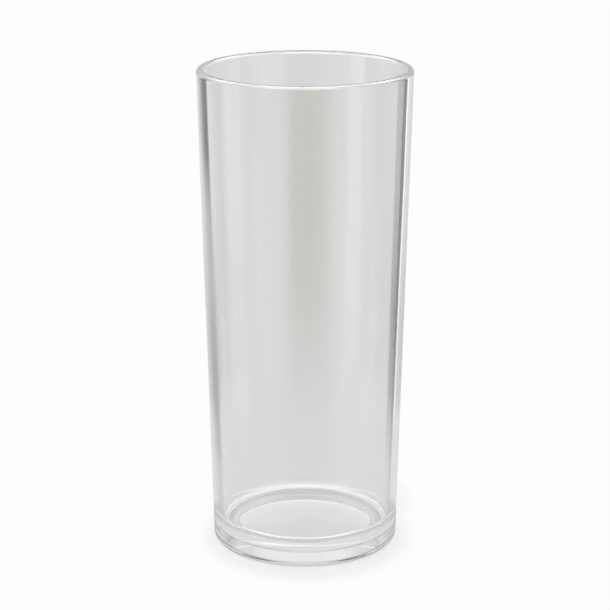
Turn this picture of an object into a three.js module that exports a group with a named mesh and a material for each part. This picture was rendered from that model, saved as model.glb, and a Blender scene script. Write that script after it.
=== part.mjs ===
// A tall tumbler: one moulded piece of clear glass, open at the top.
// Millimetres, +Z up, with the origin at the middle of the ring that it stands on.

import * as THREE from 'three';

// Outside of the glass
const height = 152;            // from the table to the top of the rim
const rimDiameter = 66.4;      // across the outside, at the rim
const footDiameter = 58.5;     // across the outside, at the table, before the heel is rounded
const heelRadius = 1.6;        // round between the wall and the standing ring
const rimRadius = 1.1;         // round on each edge of the rim

// Inside of the glass
const rimWall = 2.8;           // thickness of the wall at the rim
const lowerWall = 2.85;        // thickness of the wall where it meets the floor
const floorThickness = 6.65;   // from the table up to the floor of the drink
const floorFillet = 4.1;       // round between the inner wall and the floor

// Underside
const standingRingWidth = 4.4; // from the heel's round in to the edge of the recess
const recessDepth = 3.7;       // height of the flat hollow inside that ring
const recessDraft = 1.6;       // how far the side of the hollow leans in on its way up
const recessRadius = 1.1;      // round on both edges of the hollow

// Fineness of the curves
const sidesAround = 72;
const arcStepAngle = Math.PI / 10;

// The outer wall is a straight line from foot to rim, and the inner wall is another.
const rimOuter = rimDiameter / 2;
const footOuter = footDiameter / 2;
const rimInner = rimOuter - rimWall;
const outerAtFloor = THREE.MathUtils.lerp(footOuter, rimOuter, floorThickness / height);
const floorInner = outerAtFloor - lowerWall;

// A round can be no larger than the glass beside it allows.
const heelRound = Math.min(heelRadius, floorThickness / 3);
const rimRound = Math.min(rimRadius, 0.48 * rimWall);
const recessHeight = Math.min(recessDepth, 0.7 * floorThickness);
const recessRound = Math.min(recessRadius, 0.4 * recessHeight);
const ringInner = footOuter - heelRound - standingRingWidth;

// Corners of the section, as radius and height
const foot = new THREE.Vector2(footOuter, 0);
const rimOutside = new THREE.Vector2(rimOuter, height);
const rimInside = new THREE.Vector2(rimInner, height);
const floorCorner = new THREE.Vector2(floorInner, floorThickness);
const floorMiddle = new THREE.Vector2(0, floorThickness);
const recessMiddle = new THREE.Vector2(0, recessHeight);
const recessCorner = new THREE.Vector2(ringInner - recessDraft, recessHeight);
const recessEdge = new THREE.Vector2(ringInner, 0);

// An arc that rounds the corner on the way from one point to the next, tangent to both sides.
function roundedCorner(before, corner, after, radius) {
  const back = before.clone().sub(corner).normalize();
  const onward = after.clone().sub(corner).normalize();
  const halfAngle = Math.acos(back.dot(onward)) / 2;
  const bisector = back.clone().add(onward).normalize();
  const centre = corner.clone().addScaledVector(bisector, radius / Math.sin(halfAngle));
  const start = corner.clone().addScaledVector(back, radius / Math.tan(halfAngle));
  const turn = (Math.PI - 2 * halfAngle) * Math.sign(onward.cross(back));
  const steps = Math.max(3, Math.ceil(Math.abs(turn) / arcStepAngle));
  return Array.from({ length: steps + 1 }, (_, i) =>
    start.clone().rotateAround(centre, turn * i / steps));
}

// The section runs from the middle of the underside, out and up the wall, over the rim and down inside.
const section = [
  recessMiddle,
  ...roundedCorner(recessMiddle, recessCorner, recessEdge, recessRound),
  ...roundedCorner(recessCorner, recessEdge, foot, recessRound),
  ...roundedCorner(recessEdge, foot, rimOutside, heelRound),
  ...roundedCorner(foot, rimOutside, rimInside, rimRound),
  ...roundedCorner(rimOutside, rimInside, floorCorner, rimRound),
  ...roundedCorner(rimInside, floorCorner, floorMiddle, floorFillet),
  floorMiddle,
];

const clearGlass = new THREE.MeshStandardMaterial({
  name: 'clear_glass',
  color: 0xeef1f0,
  roughness: 0.04,
  metalness: 0,
  transparent: true,
  opacity: 0.35,
});

const bodyShape = new THREE.LatheGeometry(section, sidesAround);
bodyShape.rotateX(Math.PI / 2);

const tumblerBody = new THREE.Mesh(bodyShape, clearGlass);
tumblerBody.name = 'tumbler_body';

const tumbler = new THREE.Group();
tumbler.add(tumblerBody);

export default tumbler;
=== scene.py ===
# Tall clear tumbler: one moulded glass on a pale floor in soft studio light
import bpy
import math
import numpy as np
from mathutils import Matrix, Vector


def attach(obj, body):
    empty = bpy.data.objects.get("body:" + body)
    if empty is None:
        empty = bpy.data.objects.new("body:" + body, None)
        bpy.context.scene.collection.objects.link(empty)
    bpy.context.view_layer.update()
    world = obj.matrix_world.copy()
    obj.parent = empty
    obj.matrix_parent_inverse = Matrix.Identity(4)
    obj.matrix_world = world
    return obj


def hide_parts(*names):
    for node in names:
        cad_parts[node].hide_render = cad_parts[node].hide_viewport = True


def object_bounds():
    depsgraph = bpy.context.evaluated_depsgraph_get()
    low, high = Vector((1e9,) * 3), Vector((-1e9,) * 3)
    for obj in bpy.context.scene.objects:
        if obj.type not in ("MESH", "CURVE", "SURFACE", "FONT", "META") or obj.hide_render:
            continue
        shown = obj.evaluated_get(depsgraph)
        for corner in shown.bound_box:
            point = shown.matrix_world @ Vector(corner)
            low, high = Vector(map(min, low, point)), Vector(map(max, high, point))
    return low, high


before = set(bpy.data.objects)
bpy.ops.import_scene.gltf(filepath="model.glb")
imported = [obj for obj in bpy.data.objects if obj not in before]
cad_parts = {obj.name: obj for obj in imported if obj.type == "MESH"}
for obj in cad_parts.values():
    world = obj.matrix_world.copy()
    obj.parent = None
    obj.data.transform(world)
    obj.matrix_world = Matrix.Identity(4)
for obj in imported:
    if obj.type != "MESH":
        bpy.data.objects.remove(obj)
cadLow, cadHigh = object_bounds()
mm = 0.001

tumbler = {
    "rimDiameter": 66.4,        # outside, in millimetres like the rest
    "footDiameter": 58.5,
    "heelRadius": 1.6,
    "rimRadius": 1.1,
    "rimWall": 2.8,
    "lowerWall": 2.85,
    "floorThickness": 6.65,     # from the table to the floor of the drink
    "floorFillet": 4.1,
    "recessDiameter": 46.5,     # hollow under the foot, inside the standing ring
    "recessDepth": 3.7,
    "recessDraft": 1.6,
    "recessRadius": 1.1,
    "around": 512,              # sides of the lathe
}


def hexColour(text):
    # sRGB hex to the linear values that shaders take
    srgb = np.array([int(text[i:i + 2], 16) for i in (1, 3, 5)]) / 255
    linear = np.where(srgb <= 0.04045, srgb / 12.92, ((srgb + 0.055) / 1.055) ** 2.4)
    return (*linear.tolist(), 1.0)


def addNode(tree, kind, links=None, **settings):
    # a node with its settings by name, its fixed inputs and its links by socket
    node = tree.nodes.new(kind)
    for key, value in settings.items():
        setattr(node, key, value)
    for socket, source in (links or {}).items():
        if isinstance(source, bpy.types.NodeSocket):
            tree.links.new(source, node.inputs[socket])
        else:
            node.inputs[socket].default_value = source
    return node


def levelSteps(tree, level, steps):
    # a level carried through steps: over the span of a reading it turns to the step's own level
    for reading, (start, end), after in steps:
        level = addNode(tree, "ShaderNodeMapRange", {
            "Value": reading, "From Min": start, "From Max": end,
            "To Min": level, "To Max": after}).outputs[0]
    return level


# Section of the glass: radius and height, from the middle of the underside out, up, over the rim and down

def straightRun(start, end, steps=5, guard=0.15):
    # even points between two arcs, and one close to each arc so that its shading ends there
    near = guard / np.linalg.norm(end - start)
    share = np.concatenate([[near], np.arange(1, steps) / steps, [1 - near]])
    return start + share[:, None] * (end - start)


def roundedCorner(before, corner, after, radius, steps=16):
    # arc tangent to both sides of a corner: start of the arc turned about its centre
    back = (before - corner) / np.linalg.norm(before - corner)
    onward = (after - corner) / np.linalg.norm(after - corner)
    half = math.acos(float(back @ onward)) / 2
    bisector = (back + onward) / np.linalg.norm(back + onward)
    centre = corner + bisector * radius / math.sin(half)
    start = corner + back * radius / math.tan(half) - centre
    turnWay = math.copysign(1, onward[0] * back[1] - onward[1] * back[0])
    turn = turnWay * (math.pi - 2 * half) * np.linspace(0, 1, steps + 1)
    x = start[0] * np.cos(turn) - start[1] * np.sin(turn)
    y = start[0] * np.sin(turn) + start[1] * np.cos(turn)
    return centre + np.stack([x, y], axis=1)


def glassSection(size):
    # corners joined by straight runs, each rounded by its own radius
    height = (cadHigh.z - cadLow.z) / mm
    rimOuter, footOuter = size["rimDiameter"] / 2, size["footDiameter"] / 2
    floor = size["floorThickness"]
    floorInner = footOuter + (rimOuter - footOuter) * floor / height - size["lowerWall"]
    recess = size["recessDiameter"] / 2
    corners = np.array([
        (0, size["recessDepth"]), (recess - size["recessDraft"], size["recessDepth"]), (recess, 0),
        (footOuter, 0), (rimOuter, height), (rimOuter - size["rimWall"], height),
        (floorInner, floor), (0, floor),
    ])
    radii = [size["recessRadius"], size["recessRadius"], size["heelRadius"],
             size["rimRadius"], size["rimRadius"], size["floorFillet"]]
    points = [corners[:1]]
    for i, radius in enumerate(radii):
        arc = roundedCorner(*corners[i:i + 3], radius)
        points += [straightRun(points[-1][-1], arc[0]), arc]
    points += [straightRun(points[-1][-1], corners[-1]), corners[-1:]]
    return np.vstack(points) * mm


def latheMesh(name, section, around):
    # each ring is a section point turned about Z, and the two ends on the axis are single points
    angle = np.linspace(0, 2 * np.pi, around, endpoint=False)
    rings = section[1:-1]
    x = rings[:, :1] * np.cos(angle)
    y = rings[:, :1] * np.sin(angle)
    z = np.repeat(rings[:, 1:], around, axis=1)
    points = np.stack([x, y, z], axis=-1).reshape(-1, 3)
    poles = [[0, 0, section[0, 1]], [0, 0, section[-1, 1]]]
    here = np.arange(around)
    there = (here + 1) % around
    row = np.arange(len(rings) - 1)[:, None] * around
    quads = np.stack([row + here, row + there, row + around + there, row + around + here], axis=-1)
    last, under, top = (len(rings) - 1) * around, len(points), len(points) + 1
    underFan = np.stack([there, here, np.full(around, under)], axis=-1)
    topFan = np.stack([last + here, last + there, np.full(around, top)], axis=-1)
    mesh = bpy.data.meshes.new(name)
    faces = quads.reshape(-1, 4).tolist() + underFan.tolist() + topFan.tolist()
    mesh.from_pydata(np.vstack([points, poles]).tolist(), [], faces)
    mesh.shade_smooth()
    mesh.update()
    return mesh


glassFinish = {
    "colour": "#FBFBFB",
    "refraction": 1.52,
    "waveLength": (12, 12, 62), # mould waves in millimetres, drawn out along the wall
    "waveHeight": 0.04,
    "waveDetail": 1,
    "waveFineness": 0.4,
    "smudgeLength": 22,         # drying marks, in millimetres too
    "smudgeDetail": 4,
    "smudgeSpan": (0.55, 0.8),  # noise at which a mark begins, and at which it is full
    "smudgeRoughness": 0.03,
}


def clearGlass():
    # soda-lime glass, moulded and fire-polished: clear, with faint mould waves and drying marks
    material = bpy.data.materials.new("soda_lime_glass")
    material.use_nodes = True
    tree = material.node_tree
    tree.nodes.clear()
    output = addNode(tree, "ShaderNodeOutputMaterial")
    place = addNode(tree, "ShaderNodeTexCoord")
    waveScale = [1 / (mm * length) for length in glassFinish["waveLength"]]
    drawnOut = addNode(tree, "ShaderNodeMapping", {"Vector": place.outputs["Object"], "Scale": waveScale})
    waves = addNode(tree, "ShaderNodeTexNoise", {
        "Vector": drawnOut.outputs["Vector"], "Scale": 1,
        "Detail": glassFinish["waveDetail"], "Roughness": glassFinish["waveFineness"]})
    surface = addNode(tree, "ShaderNodeBump", {
        "Height": waves.outputs["Fac"], "Strength": 1, "Distance": glassFinish["waveHeight"] * mm})
    smudges = addNode(tree, "ShaderNodeTexNoise", {
        "Vector": place.outputs["Object"], "Scale": 1 / (mm * glassFinish["smudgeLength"]),
        "Detail": glassFinish["smudgeDetail"]})
    dulled = levelSteps(tree, 0, [
        (smudges.outputs["Fac"], glassFinish["smudgeSpan"], glassFinish["smudgeRoughness"])])
    shader = addNode(tree, "ShaderNodeBsdfPrincipled", {
        "Base Color": hexColour(glassFinish["colour"]), "Roughness": dulled,
        "Normal": surface.outputs["Normal"], "IOR": glassFinish["refraction"], "Transmission Weight": 1.0,
    })
    tree.links.new(shader.outputs["BSDF"], output.inputs["Surface"])
    return material


glassMesh = latheMesh("tumbler_glass", glassSection(tumbler), tumbler["around"])
glass = bpy.data.objects.new("tumbler_glass", glassMesh)
bpy.context.scene.collection.objects.link(glass)
glass.data.materials.append(clearGlass())
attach(glass, "root")
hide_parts("tumbler_body")
print("glass:", len(glass.data.polygons), "faces")

# Camera at the photograph's angle, in millimetres and degrees
camera = {"distance": 618.8, "height": 259.9, "tilt": 16.49,
          "lens": 121.13, "sensor": 36, "farthest": 50000}
cameraData = bpy.data.cameras.new("camera")
cameraData.lens = camera["lens"]
cameraData.sensor_width = camera["sensor"]
cameraData.clip_end = camera["farthest"] * mm
cameraObject = bpy.data.objects.new("camera", cameraData)
cameraObject.location = (0, -camera["distance"] * mm, camera["height"] * mm)
cameraObject.rotation_euler = (math.radians(90 - camera["tilt"]), 0, 0)
bpy.context.scene.collection.objects.link(cameraObject)
bpy.context.scene.camera = cameraObject
print("camera set")

# Studio: a pale floor with painted rings for the glass, an even sky, soft boxes and the cards that paint
# reflections, highlights and shade into the glass
studio = {
    "floorSide": 8.0,           # metres, like the other lengths here apart from the rings
    "floorDrop": 0.0002,        # keeps the floor just clear of the standing ring
    "floorColour": "#FBFBFB",
    "contactShadow": ((0.0005, 0.0003, 0), (1, 1.176, 1)),      # painted outline of the contact shadow: middle, and stretch along X and Y
    "castShadow": ((0.0125, 0.03, 0), (0.69, 1.015, 1)),        # the same, for a painted shadow tail behind the glass on the right
    "shadowJoin": 0.002,
    "shadowReach": (0.0297, 0.0367),    # from where it is full to where it ends
    "shadowDepth": 0.27,
    "white": 0.982,             # what the camera sees of floor and sky
    "aroundGlass": 0.75,        # the same, as the glass shows it
    "overhead": 0.85,           # the sky's level high up, as the glass shows it
    "overheadSpan": (0.6, 0.85),        # upward part of a ray over which the sky turns to that level
    "ambient": 0.68,            # the sky's light on everything else
}

# Painted light and shade on the floor, shown only in the glass: rings of painted glow where the glass
# gathers light and painted contact shadow round the heel; millimetres from the axis, and the level there
rings = {
    "through": ((0, 0.74), (16, 0.8), (22, 0.88), (23.6, 1.05), (24.6, 0.55), (27, 0.58), (28.5, 0.85),
                (30.2, 1.12), (31.2, 0.95), (33, 0.82), (36, 0.75)),
    "sides": ((0, 0.74), (16, 0.8), (22, 0.88), (23.6, 0.95), (24.6, 0.72), (27, 0.72), (28.5, 0.85),
              (30.2, 1.05), (31.2, 0.95), (33, 0.82), (36, 0.75)),
    "front": ((0, 0.74), (16.5, 0.8), (18.3, 0.92), (20, 1.8), (24.6, 1.8), (25.6, 0.55), (27, 0.58),
              (36, 0.75)),
    "mirrored": ((0, 0.72), (25, 0.66), (28.4, 0.6), (29.4, 0.35), (32, 0.4), (35.5, 0.52), (42, 0.52),
                 (60, 0.75)),
    "guided": ((0, 0.75), (39.4, 0.76), (40.6, 1.05), (41.6, 0.8), (44, 0.75)),
    "rim": ((0, 0.75), (50, 0.75), (60, 0.1), (190, 0.1), (230, 0.8), (300, 0.8), (600, 0.75)),
}

# Where one set of rings gives way to the next, in metres
ringEdges = {
    "sides": (0.008, 0.018),            # off the middle, on X
    "front": (-0.008, -0.012),          # on Y
    "mirrored": (0.018, 0.026),         # on Y, and behind it the glass mirrors an even floor
    "window": (0.011, 0.016),           # off the middle, on X
    "windowReach": (0.0195, 0.0215),    # from the axis
    "rim": (0.04, 0.05),                # from the axis
}
heelWindow = {"middle": 0.87, "sides": 0.73}    # painted shade of the floor inside the standing ring, as the heel shows it

# Spans of what is counted on a ray's way through the glass
isSet = (0, 1)                  # from no to yes, or from none to one
pastTwo = (2.4, 2.6)
pastThree = (3.4, 3.6)
wallBounces = ((7.5, 0.8), (11.5, 1.05), (22, 0.08), (65, 0.78))    # bounces, and the painted level past them
bounceEdge = 0.3


def inWall(tree, path, level):
    # painted light and shade: a ray that has bounced past each count inside the wall sees that step's set
    # level in place of what is round the glass: bright, then dark, then even again
    return levelSteps(tree, level, [
        (path.outputs["Ray Depth"], (bounces - bounceEdge, bounces + bounceEdge), after)
        for bounces, after in wallBounces])


def floorRings(tree, away, levels):
    # level of the floor by its distance from the glass's axis, eased from ring to ring
    reach = levels[-1][0] * mm
    along = levelSteps(tree, 0, [(away, (0, reach), 1)])
    ramp = addNode(tree, "ShaderNodeValToRGB", {"Fac": along})
    ramp.color_ramp.interpolation = "EASE"
    stops = ramp.color_ramp.elements
    while len(stops) < len(levels):
        stops.new(0.5)
    for stop, (radius, level) in zip(stops, levels):
        stop.position = radius * mm / reach
    for stop, (radius, level) in zip(stops, levels):
        stop.color = (level, level, level, 1)
    return ramp.outputs["Color"]


def floorMaterial():
    # matt paper: the camera sees it white beyond the shadow, and the glass sees it in painted rings,
    # a painted shadow dark under the heel and a painted glow where the glass gathers light
    material = bpy.data.materials.new("pale_floor")
    material.use_nodes = True
    tree = material.node_tree
    tree.nodes.clear()
    output = addNode(tree, "ShaderNodeOutputMaterial")
    path = addNode(tree, "ShaderNodeLightPath")
    place = addNode(tree, "ShaderNodeTexCoord")

    # painted outline of the shadow: distance from the middle of the nearer of two shapes, each stretched
    # along X and Y; inside them some of the floor's own lamp-lit shading shows
    fromMiddle = []
    for middle, stretch in (studio["contactShadow"], studio["castShadow"]):
        inShadow = addNode(tree, "ShaderNodeMapping", {
            "Vector": place.outputs["Object"], "Location": middle, "Scale": stretch}, vector_type="TEXTURE")
        fromMiddle.append(addNode(tree, "ShaderNodeVectorMath", {0: inShadow.outputs["Vector"]},
                                  operation="LENGTH").outputs["Value"])
    nearer = addNode(tree, "ShaderNodeMath", {0: fromMiddle[0], 1: fromMiddle[1], 2: studio["shadowJoin"]},
                     operation="SMOOTH_MIN")
    near, far = studio["shadowReach"]
    clearOf = addNode(tree, "ShaderNodeMapRange", {
        "Value": nearer.outputs["Value"], "From Min": near, "From Max": far,
        "To Min": 1 - studio["shadowDepth"]}, interpolation_type="SMOOTHSTEP")
    share = levelSteps(tree, path.outputs["Is Glossy Ray"], [
        (path.outputs["Is Camera Ray"], isSet, clearOf.outputs[0])])

    # painted light and shade: levels by place on the floor, and by how the ray came through the glass
    away = addNode(tree, "ShaderNodeVectorMath", {0: place.outputs["Object"]},
                   operation="LENGTH").outputs["Value"]
    parts = addNode(tree, "ShaderNodeSeparateXYZ", {0: place.outputs["Object"]})
    onY = parts.outputs["Y"]
    offMiddle = addNode(tree, "ShaderNodeMath", {0: parts.outputs["X"]}, operation="ABSOLUTE").outputs[0]
    ring = {name: floorRings(tree, away, levels) for name, levels in rings.items()}
    through = levelSteps(tree, ring["through"], [
        (offMiddle, ringEdges["sides"], ring["sides"]),
        (onY, ringEdges["front"], ring["front"])])
    window = levelSteps(tree, heelWindow["middle"], [
        (offMiddle, ringEdges["window"], heelWindow["sides"]),
        (away, ringEdges["windowReach"], through),
        (away, ringEdges["rim"], ring["rim"])])
    mirrored = levelSteps(tree, ring["mirrored"], [
        (onY, ringEdges["mirrored"], studio["aroundGlass"]),
        (path.outputs["Glossy Depth"], pastThree, ring["guided"]),
        (path.outputs["Transmission Depth"], pastTwo, studio["aroundGlass"])])
    inGlass = levelSteps(tree, window, [
        (path.outputs["Ray Depth"], pastTwo, through),
        (path.outputs["Glossy Depth"], isSet, mirrored)])
    level = levelSteps(tree, inWall(tree, path, inGlass), [
        (path.outputs["Is Camera Ray"], isSet, studio["white"])])

    plain = addNode(tree, "ShaderNodeBsdfDiffuse", {"Color": hexColour(studio["floorColour"])})
    glow = addNode(tree, "ShaderNodeEmission", {"Strength": level})
    mixed = addNode(tree, "ShaderNodeMixShader", {0: share, 1: plain.outputs[0], 2: glow.outputs[0]})
    tree.links.new(mixed.outputs[0], output.inputs["Surface"])
    return material


half = studio["floorSide"] / 2
floorMesh = bpy.data.meshes.new("floor")
floorCorners = [(-half, -half, 0), (half, -half, 0), (half, half, 0), (-half, half, 0)]
floorMesh.from_pydata(floorCorners, [], [(0, 1, 2, 3)])
floor = bpy.data.objects.new("floor", floorMesh)
floor.location.z = -studio["floorDrop"]
floorMesh.materials.append(floorMaterial())
bpy.context.scene.collection.objects.link(floor)


def skyWorld():
    # white to the camera, a little darker in the glass, with the painted levels for rays long in the wall,
    # and an even light on everything else
    world = bpy.data.worlds.new("studio")
    bpy.context.scene.world = world
    world.use_nodes = True
    tree = world.node_tree
    tree.nodes.clear()
    output = addNode(tree, "ShaderNodeOutputWorld")
    path = addNode(tree, "ShaderNodeLightPath")
    place = addNode(tree, "ShaderNodeTexCoord")
    parts = addNode(tree, "ShaderNodeSeparateXYZ", {0: place.outputs["Generated"]})
    low, high = studio["overheadSpan"]
    upward = addNode(tree, "ShaderNodeMapRange", {
        "Value": parts.outputs["Z"], "From Min": low, "From Max": high,
        "To Min": studio["aroundGlass"], "To Max": studio["overhead"]}, interpolation_type="SMOOTHSTEP")
    level = levelSteps(tree, studio["ambient"], [
        (path.outputs["Is Glossy Ray"], isSet, inWall(tree, path, upward.outputs[0])),
        (path.outputs["Is Camera Ray"], isSet, studio["white"])])
    sky = addNode(tree, "ShaderNodeBackground", {"Color": (1, 1, 1, 1), "Strength": level})
    tree.links.new(sky.outputs[0], output.inputs["Surface"])


skyWorld()

# Cards stand round the glass, in metres, and are seen only in it: they paint its reflections, highlights
# and dark edges. Bearings are degrees from straight behind it, right is positive.
# Heights come with the card's share there, and soft is the part of the width over which each side fades.
# Rays are the counts on a ray's way between which it sees the card.
mirror = {"Ray Depth": (0.5, 1.5)}
wallEdge = {"Ray Depth": (2.5, 3.5)}
wallThrough = {"Ray Depth": (3.5, 4.5), "Glossy Depth": (-0.5, 0.5)}
ringThrough = {"Ray Depth": (5.5, 6.5), "Glossy Depth": (-0.5, 0.5)}
heelEdge = {"Ray Depth": (3.5, 4.5), "Transmission Depth": (0, 2.5)}
heelRays = {"Ray Depth": (4.5, 6.5)}
anyMirror = {"Glossy Depth": (0.5, 99), "Ray Depth": (0, 7.5)}
cards = {
    # painted shade: dark line down the left edge, seen only in rays that crossed the wall's edge
    "left_edge_shade": {
        "bearing": (-82, -45), "distance": 0.05, "level": 0.05, "soft": (0.02, 0.8), "rays": wallEdge,
        "heights": ((0.0005, 0.2), (0.012, 0.24), (0.022, 0.45), (0.05, 0.5), (0.075, 0.36), (0.1, 0.5),
                    (0.109, 0.65), (0.122, 1), (0.158, 1))},
    # painted shade: dark line down the right edge, seen only in rays that crossed the wall's edge
    "right_edge_shade": {
        "bearing": (71, 100), "distance": 0.05, "level": 0.1, "soft": (0.05, 0.8), "rays": wallEdge,
        "heights": ((0.0005, 0.25), (0.014, 0.3), (0.024, 0.5), (0.06, 0.85), (0.1, 1), (0.158, 1))},
    # painted highlight: thin bright line beside the right edge
    "right_glint": {
        "bearing": (66, 71.5), "distance": 0.05, "level": 1.1, "soft": (0.4, 0.1), "rays": wallEdge,
        "heights": ((0.026, 0), (0.032, 1), (0.158, 1))},
    # painted shade: darker band inside the right edge, seen through both walls
    "right_shade": {
        "bearing": (49, 66), "distance": 0.05, "level": 0.44, "soft": (0.2, 0.1), "rays": wallThrough,
        "heights": ((0.01, 0), (0.03, 0.8), (0.06, 1), (0.158, 1))},
    # painted shade: slightly darker band near the left side, seen through both walls
    "left_side_shade": {
        "bearing": (-52, -36), "distance": 0.05, "level": 0.69, "soft": (0.2, 0.4), "rays": wallThrough,
        "heights": ((0.06, 0), (0.09, 1), (0.158, 1))},
    # painted shade: slightly darker band near the right side, seen through both walls
    "right_side_shade": {
        "bearing": (28, 49), "distance": 0.05, "level": 0.71, "soft": (0.3, 0.1), "rays": wallThrough,
        "heights": ((0.06, 0), (0.09, 1), (0.158, 1))},
    # painted shade: dark edge lines for rays that leave towards the back
    "back_edge_shade": {
        "bearing": (-42, 62), "distance": 0.051, "level": 0.1, "soft": (0.2, 0.2), "rays": wallEdge,
        "heights": ((0.0005, 0), (0.08, 0.5), (0.158, 0.6))},
    # painted shade: dark edge lines for rays that leave towards the front
    "front_edge_shade": {
        "bearing": (102, 276), "distance": 0.051, "level": 0.1, "soft": (0.2, 0.2), "rays": wallEdge,
        "heights": ((0.0005, 0), (0.08, 0.5), (0.158, 0.6))},
    # painted reflection: dark band down the middle, mirrored from in front of the glass
    "front_dark_reflection": {
        "bearing": (150, 216), "distance": 0.07, "level": 0.06, "soft": (0.2, 0.5), "rays": anyMirror,
        "heights": ((0, 0), (0.075, 1), (0.15, 1), (0.165, 0))},
    # painted reflection of a bright box on the left, seen only in mirrored rays
    "left_reflected_box": {
        "bearing": (-121, -93), "distance": 0.1, "level": 1.5, "soft": (0.15, 0.15), "rays": anyMirror,
        "heights": ((0, 0), (0.05, 1), (0.3, 1))},
    # painted reflection of a bright box on the right, seen only in mirrored rays
    "right_reflected_box": {
        "bearing": (113, 150), "distance": 0.08, "level": 1.0, "soft": (0.15, 0.15), "rays": anyMirror,
        "heights": ((0, 0), (0.02, 1), (0.3, 1))},
    # painted reflection of a lower bright box on the right, seen only in mirrored rays
    "low_right_reflected_box": {
        "bearing": (97, 126), "distance": 0.08, "level": 1.25, "soft": (0.4, 0.4), "rays": anyMirror,
        "heights": ((0, 0), (0.04, 0.7), (0.055, 1), (0.09, 1), (0.112, 0))},
    # painted shade: dark line along the heel
    "heel_edge_shade": {
        "bearing": (-86, 80), "distance": 0.045, "level": 0.05, "soft": (0.1, 0.1), "rays": heelEdge,
        "heights": ((0.004, 1), (0.06, 1))},
    # painted shade: darkens the heel on the left
    "left_heel_shade": {
        "bearing": (-75, 8), "distance": 0.047, "level": 0.03, "soft": (0.1, 0.5), "rays": heelRays,
        "heights": ((0.027, 0), (0.036, 1), (0.065, 1), (0.1, 0))},
    # painted shade: darkens the heel on the right
    "right_heel_shade": {
        "bearing": (-8, 75), "distance": 0.048, "level": 0.03, "soft": (0.5, 0.1), "rays": heelRays,
        "heights": ((0.027, 0), (0.036, 1), (0.065, 1), (0.1, 0))},
    # painted shade: darker floor seen through the standing ring
    "ring_shade": {
        "bearing": (-26, 26), "distance": 0.047, "level": 0.55, "soft": (0.5, 0.5), "rays": ringThrough,
        "heights": ((0.0002, 1), (0.02, 1), (0.026, 0))},
    # painted highlight along the rim, from behind and above, seen only in its mirror reflection
    "rim_light": {
        "bearing": (-100, 100), "distance": 0.12, "level": 6.5, "soft": (0.2, 0.2), "rays": mirror,
        "heights": ((0.2, 0), (0.25, 1), (1.4, 1))},
    # painted highlight along the rim, from in front and above, seen only in its mirror reflection
    "front_rim_light": {
        "bearing": (100, 260), "distance": 0.12, "level": 6.0, "soft": (0.2, 0.2), "rays": mirror,
        "heights": ((0.19, 0), (0.24, 1), (1.4, 1))},
    # painted shade: warm, darker band down the middle, seen through both walls
    "back_shade": {
        "bearing": (-12, 13), "distance": 0.05, "level": 0.72, "soft": (0.5, 0.24), "rays": wallThrough,
        "heights": ((0.03, 0), (0.07, 1), (0.158, 1)), "colour": "#FFFDF7"},
}
cardCells = (48, 64)            # across and up


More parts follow.
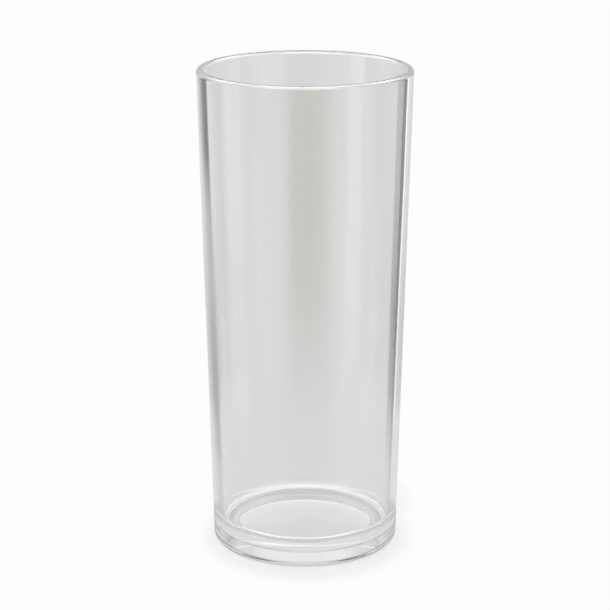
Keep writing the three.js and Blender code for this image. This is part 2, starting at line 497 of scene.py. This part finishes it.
def studioCard(name, card):
    # upright strip bent round the glass that paints a glow or a shade seen only in the glass: bearing
    # across, height up, fading out at both sides
    cellsAcross, cellsUp = cardCells
    rowLength = cellsAcross + 1
    across, up = np.meshgrid(np.linspace(0, 1, rowLength), np.linspace(0, 1, cellsUp + 1))
    first, last = np.radians(card["bearing"])
    bearing = first + (last - first) * across
    marks, shares = np.array(card["heights"]).T
    height = marks[0] + (marks[-1] - marks[0]) * up
    points = np.stack([card["distance"] * np.sin(bearing), card["distance"] * np.cos(bearing),
                       height], axis=-1).reshape(-1, 3)
    start = (np.arange(cellsUp)[:, None] * rowLength + np.arange(cellsAcross)).reshape(-1)
    faces = np.stack([start, start + 1, start + rowLength + 1, start + rowLength], axis=-1)
    mesh = bpy.data.meshes.new(name)
    mesh.from_pydata(points.tolist(), [], faces.tolist())
    # the cover is the eased way in from the nearer side, times the share at that height
    edge = np.clip(np.minimum(across / card["soft"][0], (1 - across) / card["soft"][1]), 0, 1)
    fadeOut = (edge * edge * (3 - 2 * edge) * np.interp(height, marks, shares)).reshape(-1)
    cover = mesh.attributes.new("cover", "FLOAT", "POINT")
    cover.data.foreach_set("value", fadeOut)
    material = bpy.data.materials.new(name)
    material.use_nodes = True
    tree = material.node_tree
    tree.nodes.clear()
    output = addNode(tree, "ShaderNodeOutputMaterial")
    path = addNode(tree, "ShaderNodeLightPath")
    share = addNode(tree, "ShaderNodeAttribute", attribute_name="cover").outputs["Fac"]
    for count, (least, most) in card["rays"].items():
        for way, limit in (("GREATER_THAN", least), ("LESS_THAN", most)):
            shown = addNode(tree, "ShaderNodeMath", {0: path.outputs[count], 1: limit}, operation=way)
            share = addNode(tree, "ShaderNodeMath", {0: share, 1: shown.outputs[0]},
                            operation="MULTIPLY").outputs[0]
    clear = addNode(tree, "ShaderNodeBsdfTransparent")
    glow = addNode(tree, "ShaderNodeEmission", {
        "Color": hexColour(card.get("colour", "#FFFFFF")), "Strength": card["level"]})
    mixed = addNode(tree, "ShaderNodeMixShader", {0: share, 1: clear.outputs[0], 2: glow.outputs[0]})
    tree.links.new(mixed.outputs[0], output.inputs["Surface"])
    mesh.materials.append(material)
    strip = bpy.data.objects.new(name, mesh)
    for kind in ("camera", "diffuse", "shadow", "volume_scatter"):
        setattr(strip, "visible_" + kind, False)
    bpy.context.scene.collection.objects.link(strip)


for name, card in cards.items():
    studioCard(name, card)


softboxes = {
    "top_softbox": {"place": (0, 0.1, 1.1), "aim": (0, 0, 0), "side": 0.5, "power": 3.9},
    "left_softbox": {"place": (-0.9, -0.4, 0.7), "aim": (0, 0, 0.07), "side": 0.6, "power": 1.0},
}


def softbox(name, box):
    # square lamp turned from its place to its aim, which lights the floor and shows in no glass
    data = bpy.data.lights.new(name, "AREA")
    data.shape = "SQUARE"
    data.size = box["side"]
    data.energy = box["power"]
    lamp = bpy.data.objects.new(name, data)
    lamp.location = box["place"]
    lamp.rotation_euler = (Vector(box["aim"]) - Vector(box["place"])).to_track_quat("-Z", "Y").to_euler()
    for kind in ("camera", "transmission", "glossy"):
        setattr(lamp, "visible_" + kind, False)
    bpy.context.scene.collection.objects.link(lamp)


for name, box in softboxes.items():
    softbox(name, box)
print("studio set")

glassBounces = 1024             # light runs on inside the rim for hundreds of bounces
for kind in ("max_bounces", "transmission_bounces", "glossy_bounces"):
    setattr(bpy.context.scene.cycles, kind, glassBounces)
bpy.context.scene.view_settings.view_transform = "Standard"
